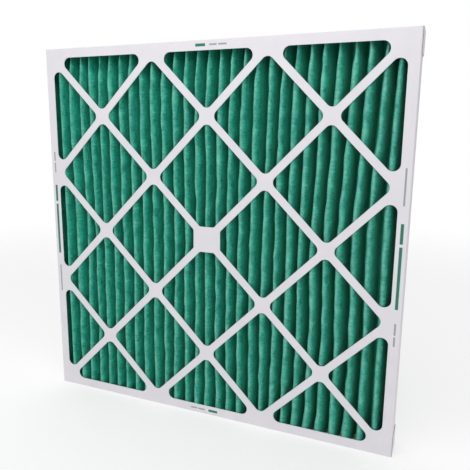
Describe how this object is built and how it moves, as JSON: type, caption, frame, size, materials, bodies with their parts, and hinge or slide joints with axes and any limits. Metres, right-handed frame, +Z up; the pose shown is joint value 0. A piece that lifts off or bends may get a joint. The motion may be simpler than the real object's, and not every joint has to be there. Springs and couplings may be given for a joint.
{
  "type": "pleated panel air filter",
  "caption": "Flat square panel air filter: a white folded board frame with a crossed diamond lattice around upright green pleats backed by welded wire.",
  "frame": {"origin": "middle of the bottom edge, which the panel stands on", "axes": "+Z up along the pleats, +Y the way the air goes, from the front face to the rear face, +X across the pleats"},
  "size_m": [0.5954, 0.0446, 0.594],
  "materials": {
    "frame_board": "coated, matte",
    "green_media": "lofted nonwoven",
    "grid_wire": "galvanised",
    "white_glue": "dried glue"
  },
  "bodies": {
    "root": {"front_frame": "frame_board", "rear_frame": "frame_board", "filter_media": "green_media", "support_grid": "grid_wire", "bottom_glue_lines": "white_glue", "top_glue_lines": "white_glue", "left_glue_lines": "white_glue", "right_glue_lines": "white_glue"}
  },
  "joints": []
}
